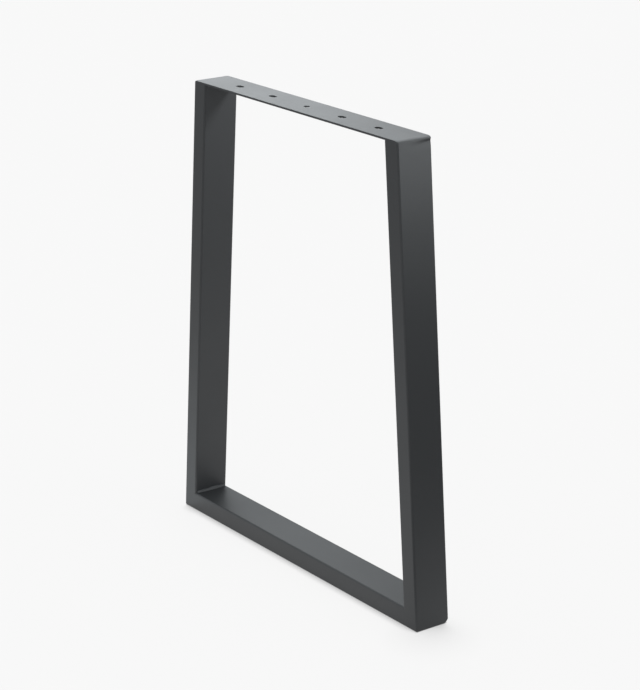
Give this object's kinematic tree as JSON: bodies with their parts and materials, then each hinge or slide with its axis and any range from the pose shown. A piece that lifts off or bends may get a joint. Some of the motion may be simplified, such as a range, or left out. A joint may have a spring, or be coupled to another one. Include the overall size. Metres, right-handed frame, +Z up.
{
  "type": "trestle table leg",
  "caption": "Trapezoid table leg of welded rectangular steel tube, with a slotted fixing plate across the top for screwing under a table top.",
  "frame": {"origin": "on the floor, under the middle of the frame", "axes": "+X along the frame, from the left upright to the right one; +Y through the frame's depth, from front to back; +Z up, from the floor rail to the fixing plate"},
  "size_m": [0.6156, 0.06, 0.72],
  "materials": {
    "powder_coat": "satin"
  },
  "bodies": {
    "root": {"floor_rail": "powder_coat", "left_upright": "powder_coat", "right_upright": "powder_coat", "top_plate": "powder_coat", "left_foot_weld": "powder_coat", "right_foot_weld": "powder_coat", "left_head_weld": "powder_coat", "right_head_weld": "powder_coat"}
  },
  "joints": []
}
